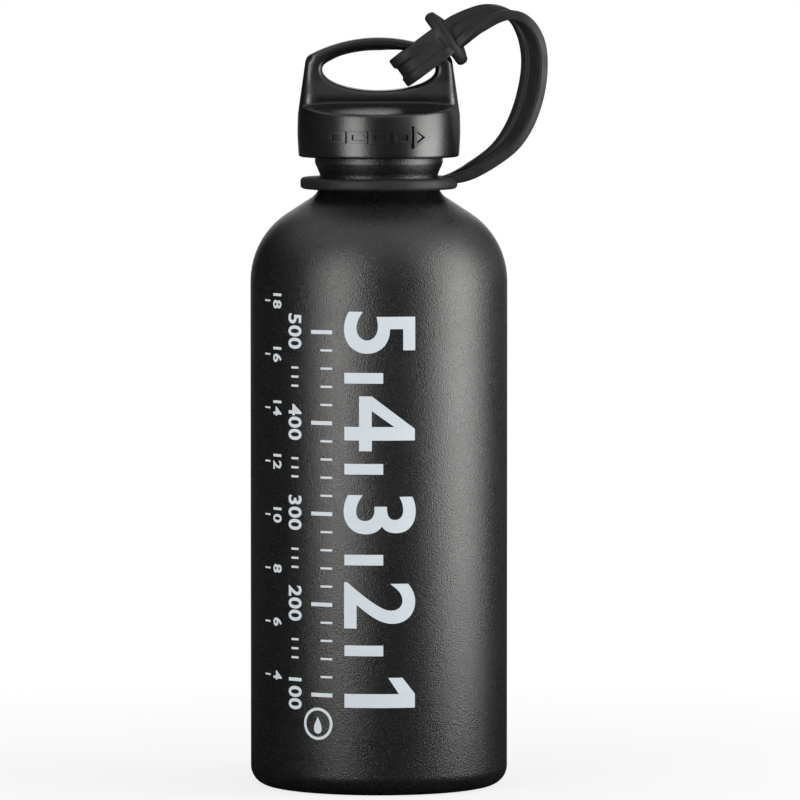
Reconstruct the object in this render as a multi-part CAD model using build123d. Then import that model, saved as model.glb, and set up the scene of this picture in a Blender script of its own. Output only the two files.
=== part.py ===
"""Camping fuel bottle with a push-and-turn screw cap and a rubber lanyard.

The origin is at the middle of the base, +Z is up and +X is the side where the lanyard stands out.
The handle on the cap lies in the XZ plane. All lengths are millimetres.
"""

import os
from math import atan2, cos, degrees, radians, sin, tan

from build123d import *

# Bottle shell
body_radius = 36.5
wall = 1.2
base_corner = 5.5
base_floor = 1.5
stand_width = 6.0
punt_depth = 3.5
punt_width = 5.0
punt_curve = 6.0
stand_curve = 1.6
shoulder_start = 156.0
shoulder_angle = 33.0
shoulder_curve = 23.0
flare_curve = 5.0
neck_groove = 5.2
finish_slope = 3.2
finish_height = 9.5
finish_curve = 2.0
groove_curve = 3.0
bore_radius = 14.0
bore_curve = 2.0
neck_wall = 2.8
finish_wall = 4.2
rim_edge = 0.6

# Plug that screws into the neck
thread_room = 0.9
plug_length = 14.0
plug_wall = 2.1
plug_web = 2.0
plug_edge = 1.0
flange_thickness = 1.8
flange_edge = 0.4
flange_play = 0.6
well_depth = 4.1
seal_thickness = 1.3
seal_play = 0.2
seal_margin = 0.4

# Child lock: teeth that meet only while the cap is pushed down
lock_teeth = 6
tooth_height = 1.6
tooth_length = 4.0
tooth_inset = 3.0
tooth_arc_share = 0.42
lock_play = 0.3
lock_room = 0.15

# Outer cap
cap_overhang = 5.0
cap_bottom_inset = 0.4
cap_shelf_inset = 0.25
cap_bottom_edge = 0.5
cap_barrel_curve = 60.0
cap_skirt = 2.0
cap_roof = 2.0
skirt_drop = 6.0
skirt_mouth = 1.0
snap_bead_height = 1.3
snap_bead_depth = 1.2

# Handle on the outer cap
handle_height = 20.4
handle_lean = 2.25
handle_corner = 2.6
handle_crown_curve = 42.0
handle_depth = 4.0
waist_gain = 0.3
waist_rise = 5.4
ridge_stand = 2.1
ridge_height = 3.6
ridge_curve = 9.0
ridge_edge = 0.5
ridge_step = 1.6
step_setback = 0.5
foot_height = 1.6
foot_curve = 0.9
shelf_fall = 1.1
shelf_slope = 7.0
side_lean = 13.0
side_play = 0.1
post_flat = 3.5
bevel_slope = 40.0
window_post = 4.6
window_sill = 5.45
window_lintel = 3.05
handle_round_share = 0.38
window_round_share = 0.55
bar_steps = 20
rim_round = 0.7
outline_tolerance_share = 0.01

# Spring between the plug and the outer cap, with the well and the boss that keep it in place
spring_wire = 0.9
spring_radius = 6.1
spring_turns = 4
spring_play = 0.1
well_play = 0.85
boss_play = 1.05
spring_boss_height = 1.8

# Lanyard ring round the neck
ring_lift = 0.95
ring_play = 0.5
ring_wall = 5.0
ring_thickness = 3.3
ring_edge = 1.3
tongue_bite = 4.0
tongue_rise = 1.2
tongue_slope = 8.0

# Lanyard strap and the loop at the cap
strap_width = 9.2
strap_thickness = 2.9
strap_edge = 0.7
strap_route = [
    (26.3, 0.0, 174.9),
    (34.1, 0.0, 179.2),
    (40.9, -0.5, 188.5),
    (44.4, -1.0, 201.8),
    (43.7, -1.5, 212.8),
    (38.1, -2.6, 220.1),
    (27.7, -3.6, 218.6),
    (20.1, -3.6, 213.0),
]
route_fillet_share = 0.45
strap_roll_shares = [
    (0.0, 14.0),
    (0.12, 22.0),
    (0.2, 33.0),
    (0.36, 41.0),
    (0.5, 39.0),
    (0.61, 35.0),
    (0.68, 22.0),
    (0.745, 0.0),
    (0.79, -17.0),
    (0.84, -34.0),
    (0.9, -47.0),
    (0.96, -68.0),
    (1.0, -88.0),
]
strap_steps = 22

loop_center = (19.1, 0.0, 212.3)
loop_slope = 36.5
loop_thickness = 2.4
loop_depth = 6.0
loop_neck_depth = 4.2
loop_neck_run = 2.4
loop_fold = 15.7
loop_tip_flat = 0.6
collar_width = 17.6
collar_depth = 13.4
collar_lip = 1.1
collar_thickness = 2.8
collar_edge = 1.1

overrun = 5.0

# Radii that follow from the sizes above
neck_radius = bore_radius + neck_wall
finish_radius = bore_radius + finish_wall
plug_radius = bore_radius - thread_room
cap_radius = finish_radius + cap_overhang
cap_bottom_radius = cap_radius - cap_bottom_inset
cap_shelf_radius = cap_radius - cap_shelf_inset
hollow_radius = cap_radius - cap_skirt
flange_radius = hollow_radius - flange_play
tooth_outer_radius = flange_radius - tooth_inset
tooth_inner_radius = tooth_outer_radius - tooth_length
well_radius = spring_radius + spring_wire / 2 + well_play
spring_boss_radius = spring_radius - spring_wire / 2 - boss_play
ring_radius = neck_radius + ring_play + ring_wall

# Heights that follow from the sizes above
shoulder_rise = tan(radians(shoulder_angle))
shoulder_stretch = 1 / cos(radians(shoulder_angle))
flare_corner = shoulder_start + (body_radius - neck_radius) * shoulder_rise
finish_bottom = flare_corner + neck_groove
rim = finish_bottom + finish_height
seal_top = rim + seal_thickness
flange_top = seal_top + flange_thickness
plug_teeth_top = flange_top + tooth_height
cap_teeth_bottom = plug_teeth_top + lock_play
cap_ceiling = cap_teeth_bottom + tooth_height + lock_room
cap_shelf = cap_ceiling + cap_roof
cap_bottom = seal_top - skirt_drop
shelf_front = cap_shelf - shelf_fall
shelf_crest = shelf_front + cap_shelf_radius * tan(radians(shelf_slope))
ring_bottom = flare_corner + ring_lift
plug_bottom = seal_top - plug_length


def turned(rows):
    """Solid turned about Z from rows of (radius, height, corner radius) that start and end on the axis."""
    points = [Vector(radius, 0, height) for radius, height, corner in rows]
    path = FilletPolyline(*points, radius=[corner for radius, height, corner in rows[1:-1]])
    return revolve(make_face(path + Line(points[-1], points[0])), Axis.Z)


def turned_ring(rows):
    """Ring turned about Z from a closed outline of (radius, height, corner radius) rows."""
    points = [Vector(radius, 0, height) for radius, height, corner in rows]
    corners = [corner for radius, height, corner in rows]
    outline = FilletPolyline(*points, radius=corners, close=True)
    return revolve(make_face(outline), Axis.Z)


def lock_tooth_ring(bottom, height, turn):
    """The lock's teeth between two heights, each a slice of a ring, turned about Z."""
    pitch = 360 / lock_teeth
    upright = (Align.CENTER, Align.CENTER, Align.MIN)
    ring = Cylinder(tooth_outer_radius, height, align=upright)
    ring = Pos(0, 0, bottom) * (ring - Cylinder(tooth_inner_radius, height, align=upright))
    reach = tooth_outer_radius + overrun
    half_arc = radians(pitch * tooth_arc_share / 2)
    wedge_points = [(0, 0), (reach, -reach * tan(half_arc)), (reach, reach * tan(half_arc))]
    wedge = extrude(Plane.XY.offset(bottom) * make_face(Polyline(*wedge_points, close=True)), height)
    return [ring & (Rot(0, 0, turn + index * pitch) * wedge) for index in range(lock_teeth)]


def bottle_shell():
    """Drawn aluminium bottle: punted base, round shoulder, thick neck with a rolled finish."""
    stand_inner = body_radius - base_corner - stand_width
    punt_edge = stand_inner - punt_width
    cone_drop = wall * shoulder_stretch
    inner_radius = body_radius - wall
    inner_shoulder = shoulder_start + wall * shoulder_rise - cone_drop
    inner_flare = shoulder_start + (body_radius - bore_radius) * shoulder_rise - cone_drop
    return turned(
        [
            (0, punt_depth, 0),
            (punt_edge, punt_depth, punt_curve),
            (stand_inner, 0, stand_curve),
            (body_radius, 0, base_corner),
            (body_radius, shoulder_start, shoulder_curve),
            (neck_radius, flare_corner, flare_curve),
            (neck_radius, finish_bottom, groove_curve),
            (finish_radius, finish_bottom + finish_slope, finish_curve),
            (finish_radius, rim, rim_edge),
            (bore_radius, rim, rim_edge),
            (bore_radius, inner_flare, bore_curve),
            (inner_radius, inner_shoulder, shoulder_curve - wall),
            (inner_radius, base_floor, base_corner - wall),
            (stand_inner, base_floor, stand_curve),
            (punt_edge, punt_depth + base_floor, punt_curve),
            (0, punt_depth + base_floor, 0),
        ]
    )


def cap_plug():
    """Closed plug: a hollow shank for the neck, a flange with the lower lock teeth, a spring well."""
    plug_hollow = plug_radius - plug_wall
    well_floor = flange_top - well_depth
    plug = turned(
        [
            (0, well_floor - plug_web, 0),
            (plug_hollow, well_floor - plug_web, plug_edge),
            (plug_hollow, plug_bottom, 0),
            (plug_radius, plug_bottom, plug_edge),
            (plug_radius, seal_top, 0),
            (flange_radius, seal_top, flange_edge),
            (flange_radius, flange_top, flange_edge),
            (well_radius, flange_top, 0),
            (well_radius, well_floor, 0),
            (0, well_floor, 0),
        ]
    )
    for tooth in lock_tooth_ring(flange_top, tooth_height, 0):
        plug += tooth
    return plug


def plug_seal():
    """Flat rubber seal between the rim of the neck and the plug's flange."""
    inner = plug_radius + seal_play
    outer = finish_radius - seal_margin
    return turned_ring([(inner, rim, 0), (outer, rim, 0), (outer, seal_top, 0), (inner, seal_top, 0)])


def lock_spring():
    """Coil spring that holds the outer cap up, away from the plug's teeth."""
    bottom = flange_top - well_depth + spring_play + spring_wire / 2
    top = cap_ceiling - spring_play - spring_wire / 2
    height = top - bottom
    path = Pos(0, 0, bottom) * Helix(height / spring_turns, height, spring_radius)
    section = Plane(path @ 0, z_dir=path % 0) * Circle(spring_wire / 2)
    return sweep(section, path=path, is_frenet=True)


def cap_barrel():
    """Barrel of the outer cap, its top a low roof that falls to the front and back, with a rounded rim."""
    middle = (cap_bottom + cap_shelf) / 2
    barrel = turned(
        [
            (0, cap_bottom, 0),
            (cap_bottom_radius, cap_bottom, cap_bottom_edge),
            (cap_radius, middle, cap_barrel_curve),
            (cap_shelf_radius, shelf_crest, 0),
            (0, shelf_crest, 0),
        ]
    )
    reach = cap_shelf_radius
    roof = Polyline(
        (reach + overrun, cap_bottom),
        (reach + overrun, shelf_front - overrun * tan(radians(shelf_slope))),
        (0, shelf_crest),
        (-reach - overrun, shelf_front - overrun * tan(radians(shelf_slope))),
        (-reach - overrun, cap_bottom),
        close=True,
    )
    barrel &= extrude(Plane.YZ * make_face(roof), reach + overrun, both=True)

    def on_rim(edge):
        middle = edge @ 0.5
        return middle.Z > shelf_front - rim_round and abs(middle.Y) > handle_depth

    barrel = fillet(barrel.edges().filter_by(on_rim), rim_round)
    side_radius = cap_shelf_radius + side_play
    lean_height = side_radius / tan(radians(side_lean))
    limit = turned(
        [
            (0, cap_bottom - overrun, 0),
            (side_radius + overrun, cap_bottom - overrun, 0),
            (side_radius + overrun, shelf_front - overrun / tan(radians(side_lean)), 0),
            (0, shelf_front + lean_height, 0),
        ]
    )
    return barrel & limit


def handle_plate():
    """Handle: a front outline and a side outline, each cut straight through the other and a cone."""
    top = cap_shelf + handle_height
    handle_top_width = cap_shelf_radius - handle_lean
    crown_end = top - handle_crown_curve + (handle_crown_curve**2 - handle_top_width**2) ** 0.5
    reach = cap_radius + overrun
    crown = ThreePointArc((handle_top_width, crown_end), (0, top), (-handle_top_width, crown_end))
    sides = Polyline(
        (-handle_top_width, crown_end),
        (-cap_shelf_radius, shelf_front),
        (cap_shelf_radius, shelf_front),
        (handle_top_width, crown_end),
    )
    front = make_face(crown + sides)
    front = fillet(front.vertices().sort_by(Axis.Y)[-2:], handle_corner)
    front_solid = extrude(Plane.XZ * front, reach, both=True)

    ridge = cap_shelf + ridge_height
    waist = ridge + waist_rise
    foot = cap_shelf + foot_height
    foot_spread = foot - shelf_front
    waist_depth = handle_depth + waist_gain
    ridge_depth = waist_depth + ridge_stand
    foot_depth = ridge_depth - step_setback
    half_side = [
        (0, top + overrun, 0),
        (handle_depth, top + overrun, 0),
        (waist_depth, waist, ridge_curve),
        (ridge_depth, ridge, ridge_edge),
        (foot_depth, ridge - ridge_step, 0),
        (foot_depth, foot, foot_curve),
        (foot_depth + foot_spread, shelf_front, 0),
        (0, shelf_front, 0),
    ]
    outline = FilletPolyline(
        *[(depth, height) for depth, height, corner in half_side],
        radius=[corner for depth, height, corner in half_side],
        close=True,
    )
    side_half = extrude(Plane.YZ * make_face(outline), reach, both=True)
    side_solid = side_half + mirror(side_half, about=Plane.XZ)
    waist_half_width = cap_shelf_radius - handle_lean * (waist - shelf_front) / (crown_end - shelf_front)
    waist_reach = (waist_half_width**2 + waist_depth**2) ** 0.5 + ridge_edge
    rounding = turned(
        [
            (0, shelf_front, 0),
            (cap_shelf_radius, shelf_front, 0),
            (waist_reach, waist, 0),
            (waist_reach, top, 0),
            (0, top, 0),
        ]
    )
    return front_solid & side_solid & rounding


def post_bevels():
    """Prism that leans in with the handle's posts and whose slanted corners bevel them."""
    top_width = cap_shelf_radius - handle_lean
    crown_end = handle_height - handle_crown_curve + (handle_crown_curve**2 - top_width**2) ** 0.5
    lean = degrees(atan2(handle_lean, crown_end + shelf_fall))
    depth = handle_depth + waist_gain + ridge_stand + overrun
    inset = (depth - post_flat) / tan(radians(bevel_slope))
    corners = [
        (cap_shelf_radius, post_flat),
        (cap_shelf_radius - inset, depth),
        (inset - cap_shelf_radius, depth),
        (-cap_shelf_radius, post_flat),
    ]
    plan = Polyline(*corners, *[(x, -y) for x, y in reversed(corners)], close=True)
    return extrude(Plane.XY.offset(shelf_front) * make_face(plan), handle_height + overrun, taper=lean)


def cap_outer_shell():
    """Moulded outer cap: barrel, loop handle, skirt with a snap bead, and the upper lock teeth."""
    window_half_width = cap_shelf_radius - handle_lean - window_post
    window_half_height = (handle_height - window_lintel - window_sill) / 2
    window_center = cap_shelf + window_sill + window_half_height

    def bar_depth(share):
        across = share * window_half_width
        crown = cap_shelf + handle_height - handle_crown_curve + (handle_crown_curve**2 - across**2) ** 0.5
        return crown - window_center - window_half_height * (1 - share**2) ** 0.5

    thinnest_bar = min(bar_depth(step / bar_steps) for step in range(bar_steps))

    def on_crown(edge):
        middle = edge @ 0.5
        return middle.Z > window_center + handle_corner and abs(middle.Y) > handle_depth / 2

    def on_window(edge):
        across, height = (edge @ 0.5).X / window_half_width, (edge @ 0.5).Z - window_center
        on_outline = abs(across**2 + (height / window_half_height) ** 2 - 1) < outline_tolerance_share
        return on_outline and abs((edge @ 0.5).Y) > handle_depth / 2

    handle = handle_plate()
    handle = fillet(handle.edges().filter_by(on_crown), handle_round_share * thinnest_bar)
    handle -= extrude(
        Plane.XZ * Pos(0, window_center) * Ellipse(window_half_width, window_half_height),
        cap_radius + overrun,
        both=True,
    )
    handle = fillet(handle.edges().filter_by(on_window), window_round_share * thinnest_bar)
    handle &= post_bevels()
    cap = cap_barrel() + handle

    bead_radius = hollow_radius - snap_bead_depth
    bead_top = seal_top - lock_play
    bead_bottom = bead_top - snap_bead_height
    cap -= turned(
        [
            (0, cap_bottom - overrun, 0),
            (bead_radius + snap_bead_depth / 2, cap_bottom - overrun, 0),
            (bead_radius + snap_bead_depth / 2, cap_bottom, 0),
            (bead_radius, cap_bottom + skirt_mouth, 0),
            (bead_radius, bead_top, 0),
            (hollow_radius, bead_top, 0),
            (hollow_radius, cap_ceiling, skirt_mouth),
            (0, cap_ceiling, 0),
        ]
    )
    boss = Pos(0, 0, cap_ceiling) * Cylinder(
        spring_boss_radius, spring_boss_height, align=(Align.CENTER, Align.CENTER, Align.MAX)
    )
    cap += boss
    for tooth in lock_tooth_ring(cap_teeth_bottom, cap_ceiling - cap_teeth_bottom, 180 / lock_teeth):
        cap += tooth
    return cap


def neck_ring():
    """Rubber ring that turns loosely in the neck's groove, with the root of the strap as a tongue."""
    bore = neck_radius + ring_play
    top = ring_bottom + ring_thickness
    ring = turned_ring(
        [
            (bore, ring_bottom, ring_edge / 2),
            (ring_radius, ring_bottom, ring_edge),
            (ring_radius, top, ring_edge),
            (bore, top, ring_edge / 2),
        ]
    )
    root = Vector(ring_radius - tongue_bite, 0, (ring_bottom + top) / 2 + tongue_rise)
    rising = Vector(cos(radians(tongue_slope)), 0, sin(radians(tongue_slope)))
    start = Vector(*strap_route[0])
    sections = [
        strap_section(root, rising, 0),
        strap_section(start, strap_path() % 0, strap_roll(0)),
    ]
    return ring + loft(sections, ruled=True)


def strap_path():
    """Middle line of the strap: straight runs joined by arcs as large as the runs allow."""
    points = [Vector(*point) for point in strap_route]
    radii = []
    for before, corner, after in zip(points, points[1:], points[2:]):
        run_in, run_out = corner - before, after - corner
        turn = run_in.get_angle(run_out)
        radii.append(route_fillet_share * min(run_in.length, run_out.length) / tan(radians(turn / 2)))
    return FilletPolyline(*points, radius=radii)


def strap_section(point, heading, roll):
    """Flat strap section at a point, turned by roll degrees about its heading."""
    width_axis = Vector(0, 1, 0).rotate(Axis((0, 0, 0), heading), roll)
    plane = Plane(origin=point, x_dir=width_axis, z_dir=heading)
    return plane * RectangleRounded(strap_width, strap_thickness, strap_edge)


def strap_roll(share):
    """Roll of the strap at a share of its length, read between the rows of strap_roll_shares."""
    for (low, low_roll), (high, high_roll) in zip(strap_roll_shares, strap_roll_shares[1:]):
        if share <= high:
            return low_roll + (high_roll - low_roll) * (share - low) / (high - low)
    return strap_roll_shares[-1][1]


def lanyard_strap():
    """Free stretch of the flat rubber strap, twisted along its way from the ring to the cap loop."""
    path = strap_path()
    sections = []
    for step in range(strap_steps + 1):
        share = step / strap_steps
        sections.append(strap_section(path @ share, path % share, strap_roll(share)))
    return loft(sections, ruled=True)


def cap_loop():
    """Loop of the strap folded round the handle, closed by the oval collar that the strap runs through."""
    down = Vector(-cos(radians(loop_slope)), 0, -sin(radians(loop_slope)))
    across = Vector(-sin(radians(loop_slope)), 0, cos(radians(loop_slope)))
    plane = Plane(origin=Vector(*loop_center), x_dir=down, z_dir=across)
    middle = [
        (0, loop_neck_depth),
        (loop_neck_run, loop_depth),
        (loop_fold, loop_depth),
        (loop_fold, -loop_depth),
        (loop_neck_run, -loop_depth),
        (0, -loop_neck_depth),
    ]
    corner = loop_depth - loop_tip_flat
    corners = [0, loop_neck_run, corner, corner, loop_neck_run, 0]
    outline = make_face(FilletPolyline(*middle, radius=corners, close=True))
    band = offset(outline, loop_thickness / 2) - offset(outline, -loop_thickness / 2)
    loop = extrude(plane * band, strap_width / 2, both=True)
    faces = loop.faces().sort_by(Axis(plane.origin, across))
    loop = fillet(faces[0].edges() + faces[-1].edges(), strap_edge)
    collar_plane = Plane(origin=plane.origin - down * collar_lip, x_dir=across, z_dir=down)
    collar = extrude(collar_plane * Ellipse(collar_width / 2, collar_depth / 2), collar_thickness)
    collar = fillet(collar.edges().filter_by(GeomType.ELLIPSE), collar_edge)
    return loop + collar


NODES = {
    "bottle_shell": bottle_shell,
    "cap_plug": cap_plug,
    "plug_seal": plug_seal,
    "lock_spring": lock_spring,
    "cap_outer_shell": cap_outer_shell,
    "neck_ring": neck_ring,
    "lanyard_strap": lanyard_strap,
    "lanyard_cap_loop": cap_loop,
}

os.makedirs("parts", exist_ok=True)
for name, build_node in NODES.items():
    export_step(build_node(), f"parts/{name}.step")

route = strap_path()
bends = [round(edge.radius, 1) for edge in route.edges().filter_by(GeomType.CIRCLE)]
print(f"Strap: {route.length:.1f} mm long, bend radii {bends} mm")
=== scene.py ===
"""Looks of the camping fuel bottle: powder-coated shell, moulded cap and twisted rubber lanyard.

Sizes are millimetres in the functions and metres in the meshes. The camera looks along +Y.
"""

from math import cos, pi, radians, sin, tan

import bmesh
import bpy
import numpy as np
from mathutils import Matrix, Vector


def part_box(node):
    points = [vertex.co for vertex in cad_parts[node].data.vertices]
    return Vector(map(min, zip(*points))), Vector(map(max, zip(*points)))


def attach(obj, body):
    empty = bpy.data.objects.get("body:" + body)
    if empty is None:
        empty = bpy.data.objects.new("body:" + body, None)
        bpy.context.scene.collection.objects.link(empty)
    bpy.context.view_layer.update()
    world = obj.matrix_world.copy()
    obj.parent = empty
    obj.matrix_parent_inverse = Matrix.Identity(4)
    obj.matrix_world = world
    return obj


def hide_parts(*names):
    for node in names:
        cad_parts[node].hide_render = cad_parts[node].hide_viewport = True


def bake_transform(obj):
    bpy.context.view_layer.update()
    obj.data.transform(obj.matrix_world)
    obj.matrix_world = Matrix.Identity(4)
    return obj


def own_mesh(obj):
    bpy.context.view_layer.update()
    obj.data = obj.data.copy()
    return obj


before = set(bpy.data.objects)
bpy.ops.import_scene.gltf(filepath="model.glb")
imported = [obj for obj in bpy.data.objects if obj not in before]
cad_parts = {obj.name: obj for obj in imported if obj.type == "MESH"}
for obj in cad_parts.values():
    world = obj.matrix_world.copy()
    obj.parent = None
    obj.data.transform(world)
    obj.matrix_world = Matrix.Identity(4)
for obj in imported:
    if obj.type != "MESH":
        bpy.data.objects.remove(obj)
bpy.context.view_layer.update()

MM = 0.001

# Bottle shell, as in the solid
body_radius = 36.5
wall = 1.2
base_corner = 5.5
base_floor = 1.5
stand_width = 6.0
punt_depth = 3.5
punt_width = 5.0
punt_curve = 6.0
stand_curve = 1.6
shoulder_start = 156.0
shoulder_angle = 33.0
shoulder_curve = 23.0
flare_curve = 5.0
neck_radius = 16.8
neck_groove = 5.2
finish_slope = 3.2
finish_radius = 18.2
finish_height = 9.5
finish_curve = 2.0
groove_curve = 3.0
bore_radius = 14.0
bore_curve = 2.0
rim_edge = 0.6
flare_corner = shoulder_start + (body_radius - neck_radius) * tan(radians(shoulder_angle))
finish_bottom = flare_corner + neck_groove
rim = finish_bottom + finish_height
arc_steps = 12

# Screw thread of neck and plug
thread_lead = 3.0
thread_turns = 3.4
thread_depth = 0.75
thread_root = 0.62
thread_tip = 0.3
thread_sunk = 0.15
thread_fade = radians(50)
thread_start = rim - thread_lead * thread_turns - 1.2
plug_radius = 13.1

# Spring under the outer cap
spring_wire = 0.9
spring_radius = 6.1
spring_turns = 4.5

# Outer cap: the posts lean in by a share of their height; post_edge_plan has (height, depth, width, corner)
shelf_radius = 22.95
shelf_front = 191.14
handle_lean = 0.1403
post_edge_low = 191.8
post_edge_high = 206.0
post_sink = 0.06
post_edge_plan = [
    (191.8, 6.1, 6.0, 3.4),
    (193.8, 6.1, 6.0, 3.4),
    (195.8, 6.4, 6.0, 3.2),
    (197.7, 5.68, 3.2, 2.9),
    (199.6, 4.94, 2.9, 2.5),
    (201.3, 4.4, 2.9, 2.1),
    (203.0, 4.26, 2.9, 1.9),
    (206.0, 4.18, 2.9, 1.7),
]
shelf_slope = 7.0
side_lean = 13.0
swell = 0.9
swell_sunk = 0.6
swell_inset = 0.15
window_width = 32.2
window_height = 11.9
window_center = 203.64
bar_gain = 0.6
bar_half_depth = 2.9
bar_from, bar_to = 68, 168
bar_fade = 22
cap_voxel = 0.36
cap_rounds = 16
skin_depth = 0.8

# Lanyard
ring_bore = neck_radius + 0.5
ring_radius = 22.3
ring_thickness = 3.3
ring_bore_round = 0.6
ring_edge_round = 1.1
ring_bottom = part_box("neck_ring")[0].z / MM
tongue_root = (18.0, 0, ring_bottom + 2.5)
tongue_width = 10.4
tongue_thickness = ring_thickness - 1.3
tongue_web = ring_thickness - 1.4
strap_width = 9.2
strap_thickness = 2.9
web_width = 3.0
web_thickness = 1.5
rib_edge = 0.6
web_edge = 0.45
strap_route = [
    (26.3, 0.0, 174.9),
    (34.1, 0.0, 179.2),
    (40.9, -0.5, 188.5),
    (44.4, -1.0, 201.8),
    (43.7, -1.5, 212.8),
    (38.1, -2.6, 220.1),
    (27.7, -3.6, 218.6),
    (20.1, -3.6, 213.0),
]
strap_roll = [
    (0.0, 14.0),
    (0.12, 22.0),
    (0.2, 33.0),
    (0.36, 41.0),
    (0.5, 39.0),
    (0.61, 35.0),
    (0.68, 22.0),
    (0.745, 0.0),
    (0.79, -17.0),
    (0.84, -34.0),
    (0.9, -47.0),
    (0.96, -68.0),
    (1.0, -88.0),
]
loop_center = (19.1, 0.0, 212.3)
loop_slope = 36.5
loop_depth = 6.0
loop_neck_depth = 4.2
loop_neck_run = 2.4
loop_fold = 15.7
loop_thickness = 2.4
loop_web = 1.2
collar_width = 17.6
collar_depth = 13.4
collar_lip = 1.7
collar_thickness = 3.4
collar_dome = 1.0
collar_edge = 2.4

# Filling gauge: lines are places along the girth from the front, and an ounce is a share of 100 millilitres
numeral_line, ladder_line, hundreds_line, ounce_line = 0.3, -16.4, -25.6, -36.0
numeral_height, hundreds_height, ounce_height = 20.0, 4.6, 3.6
ounce = 0.2957
print_sunk = 0.05
print_proud = 0.035

# Turn arrow on the cap's drum
arrow_left = -14.6
arrow_head_left = 10.0
arrow_sunk = 0.6
arrow_proud = 0.72
arrow_radius = 23.1
arrow_height = 184.9
arrow_line = 0.95
arrow_dash = 5.2
arrow_pitch = 6.2
arrow_shaft = 3.4
arrow_head_length = 5.4
arrow_head_width = 6.4

# Glossy rays see a painted glow on the floor under each lamp, a painted reflection of the lamp below the
# floor line: heading of the lamp, (cosine from, cosine to, dim, bright)
painted_lamp_reflections = [
    ((0.968, -0.252, 0), (0.91, 0.975, 0.03, 2.5)),
    ((-0.574, -0.819, 0), (0.945, 0.99, 0.03, 1.5)),
]


# Meshes

sharp_angle = 50.0


def linked_object(name, data):
    """Object of a mesh, curve, lamp or camera, linked to the scene."""
    thing = bpy.data.objects.new(name, data)
    bpy.context.scene.collection.objects.link(thing)
    return thing


def evaluated_mesh(holder):
    """New mesh of an object as its modifiers or its curve make it."""
    bpy.context.view_layer.update()
    return bpy.data.meshes.new_from_object(holder.evaluated_get(bpy.context.evaluated_depsgraph_get()))


def piece_from_grid(name, grid, wrap=True, closed_ends=True, bare_from=None):
    """Mesh of a grid of points in millimetres: rows run along the piece and columns run round it.

    Neighbouring points make quads, wrap joins the last column to the first, closed_ends fills both end
    rows, and the rows from bare_from on take the piece's second material.
    """
    rows, columns = grid.shape[:2]
    index = np.arange(rows * columns).reshape(rows, columns)
    turned = np.roll(index, -1, axis=1) if wrap else index[:, 1:]
    here = index if wrap else index[:, :-1]
    quads = np.stack([here[:-1], turned[:-1], turned[1:], here[1:]], axis=-1).reshape(-1, 4)
    faces = quads.tolist()
    if closed_ends:
        faces += [index[0, ::-1].tolist(), index[-1].tolist()]
    mesh = bpy.data.meshes.new(name)
    mesh.from_pydata((grid.reshape(-1, 3) * MM).tolist(), [], faces)
    smooth = np.ones(len(faces), dtype=bool)
    smooth[len(quads) :] = False
    mesh.polygons.foreach_set("use_smooth", smooth)
    if bare_from is not None:
        bare_face = np.arange(len(faces)) // here.shape[1] >= bare_from
        mesh.polygons.foreach_set("material_index", bare_face.astype(np.int32))
    return finished_piece(name, mesh)


def finished_piece(name, mesh):
    """Object of a mesh with its doubles merged, its faces turned outwards and its sharp edges marked."""
    work = bmesh.new()
    work.from_mesh(mesh)
    bmesh.ops.remove_doubles(work, verts=work.verts, dist=0.002 * MM)
    bmesh.ops.recalc_face_normals(work, faces=work.faces)
    for edge in work.edges:
        edge.smooth = edge.calc_face_angle(0) < radians(sharp_angle)
    work.to_mesh(mesh)
    work.free()
    return linked_object(name, mesh)


def rounded_outline(corners, steps=6, closed=False):
    """Points along a polyline of (x, y, radius) corners, with each corner an arc of that radius.

    An arc starts and ends at radius / tan(half the corner's angle) from its corner, centred on the bisector.
    """
    corner = np.array(corners, float)
    place, radius = corner[:, :2], corner[:, 2]
    before = np.roll(place, 1, axis=0) - place
    after = np.roll(place, -1, axis=0) - place
    before /= np.maximum(np.linalg.norm(before, axis=1, keepdims=True), 1e-9)
    after /= np.maximum(np.linalg.norm(after, axis=1, keepdims=True), 1e-9)
    points = []
    for k in range(len(corner)):
        sharp = radius[k] == 0 or (not closed and k in (0, len(corner) - 1))
        if sharp:
            points.append(place[k : k + 1])
            continue
        half = 0.5 * np.arccos(np.clip(before[k] @ after[k], -1, 1))
        inward = before[k] + after[k]
        inward /= np.linalg.norm(inward)
        centre = place[k] + inward * radius[k] / np.sin(half)
        start = place[k] + before[k] * radius[k] / np.tan(half) - centre
        end = place[k] + after[k] * radius[k] / np.tan(half) - centre
        turn = np.arccos(np.clip(start @ end / radius[k] ** 2, -1, 1))
        share = np.linspace(0, 1, steps)[:, None]
        arc = (np.sin((1 - share) * turn) * start + np.sin(share * turn) * end) / np.sin(turn)
        points.append(centre + arc)
    return np.concatenate(points)


def turned_piece(name, outline, segments=192, bare_from=None):
    """Surface of revolution: each (radius, height) of the outline goes round as (r cos a, r sin a, z)."""
    angle = np.linspace(0, 2 * pi, segments, endpoint=False)
    radius, height = outline[:, 0, None], outline[:, 1, None]
    grid = np.stack([radius * np.cos(angle), radius * np.sin(angle), height + 0 * angle], axis=-1)
    return piece_from_grid(name, grid, closed_ends=False, bare_from=bare_from)


def helix_piece(name, radius, lead, turns, bottom, section, fade=0.0, segments=90):
    """A section of (outwards, upwards) points carried along a helix, its outward part fading at both ends.

    The middle line is (r cos a, r sin a, bottom + lead * a / 2 pi).
    """
    angle = np.linspace(0, 2 * pi * turns, int(segments * turns))[:, None]
    outwards, upwards = section[:, 0], section[:, 1]
    if fade:
        near_end = np.minimum(angle, 2 * pi * turns - angle)
        outwards = outwards * np.clip(near_end / fade, 0.05, 1)
    reach = radius + outwards
    height = bottom + lead * angle / (2 * pi) + upwards
    grid = np.stack([reach * np.cos(angle), reach * np.sin(angle), height + 0 * reach], axis=-1)
    return piece_from_grid(name, grid)


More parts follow.
